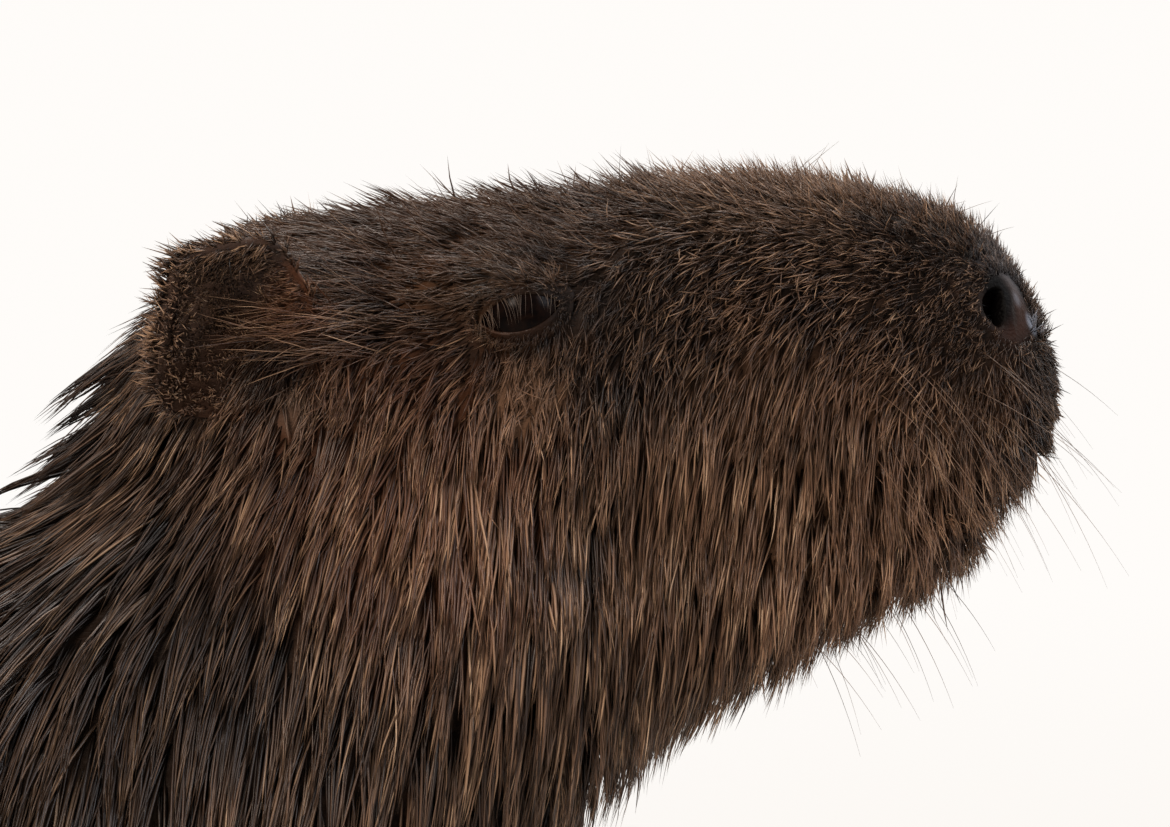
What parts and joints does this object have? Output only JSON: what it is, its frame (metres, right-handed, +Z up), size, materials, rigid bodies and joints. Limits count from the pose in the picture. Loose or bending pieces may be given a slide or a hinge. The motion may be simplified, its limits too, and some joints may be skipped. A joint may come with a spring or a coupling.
{
  "type": "capybara",
  "caption": "Life-size standing capybara with its head raised, wet bristly coat in locks, blunt deep muzzle, small round ears and toes with blunt claws.",
  "frame": {"origin": "on the floor, at the middle of the animal's length and width", "axes": "+X forwards towards the nose, +Y the animal's left, +Z up from the floor"},
  "size_m": [1.0015, 0.3568, 0.7015],
  "materials": {
    "coat": "wet bristly fur",
    "foot_skin": "short fur over dark skin",
    "bare_skin": "matt wrinkled skin",
    "eye": "wet gloss",
    "claw": "satin horn"
  },
  "bodies": {
    "root": {"head": "coat", "neck": "coat", "torso": "coat", "tail": "coat", "ear_left": "bare_skin", "eye_left": "eye", "foreleg_left": "coat", "forefoot_left": "foot_skin", "hindleg_left": "coat", "hindfoot_left": "foot_skin", "ear_right": "bare_skin", "eye_right": "eye", "foreleg_right": "coat", "forefoot_right": "foot_skin", "hindleg_right": "coat", "hindfoot_right": "foot_skin", "claw_fore_left_1": "claw", "claw_fore_left_2": "claw", "claw_fore_left_3": "claw", "claw_fore_left_4": "claw", "claw_fore_right_1": "claw", "claw_fore_right_2": "claw", "claw_fore_right_3": "claw", "claw_fore_right_4": "claw", "claw_hind_left_1": "claw", "claw_hind_left_2": "claw", "claw_hind_left_3": "claw", "claw_hind_right_1": "claw", "claw_hind_right_2": "claw", "claw_hind_right_3": "claw"}
  },
  "joints": []
}
